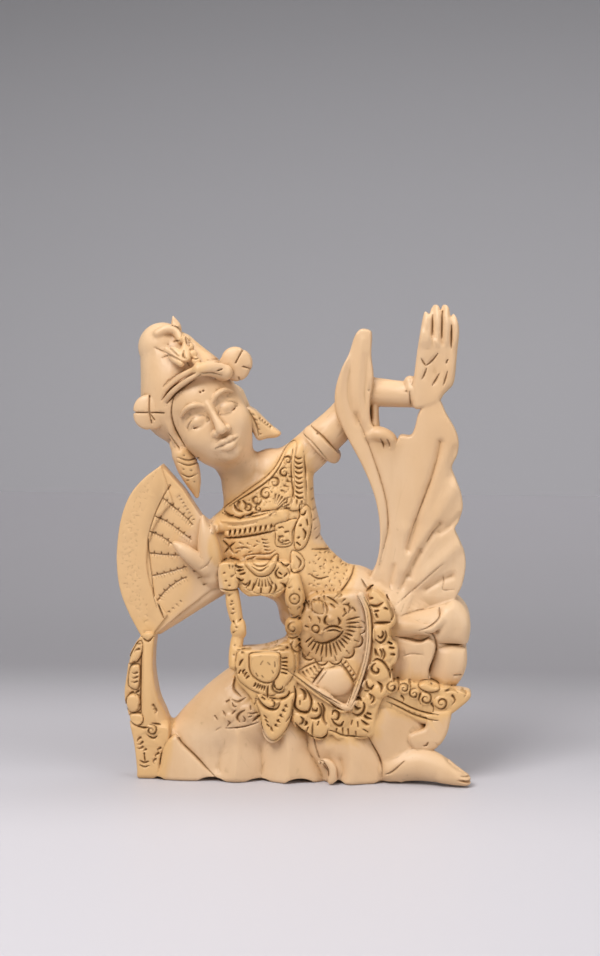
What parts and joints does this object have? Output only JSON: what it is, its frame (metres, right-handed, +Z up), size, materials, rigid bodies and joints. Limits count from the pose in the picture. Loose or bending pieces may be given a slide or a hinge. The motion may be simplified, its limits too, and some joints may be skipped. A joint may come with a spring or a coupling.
{
  "type": "carved wooden dancer figure",
  "caption": "Seated dancer carved in one piece from pale wood, with a fan, a raised open hand, a scarf spread behind and bands of carved ornament; stands on its flat underside.",
  "frame": {"origin": "on the table under the middle of the figure's bounding box", "axes": "+Z up through the head and the raised hand, -Y towards the viewer's side of the carving, +X to the side of the raised hand"},
  "size_m": [0.2144, 0.069, 0.283],
  "materials": {
    "pale_wood": "satin, lightly waxed pale hardwood with darker dirt in the cuts"
  },
  "bodies": {
    "root": {"dancer_figure": "pale_wood"}
  },
  "joints": []
}
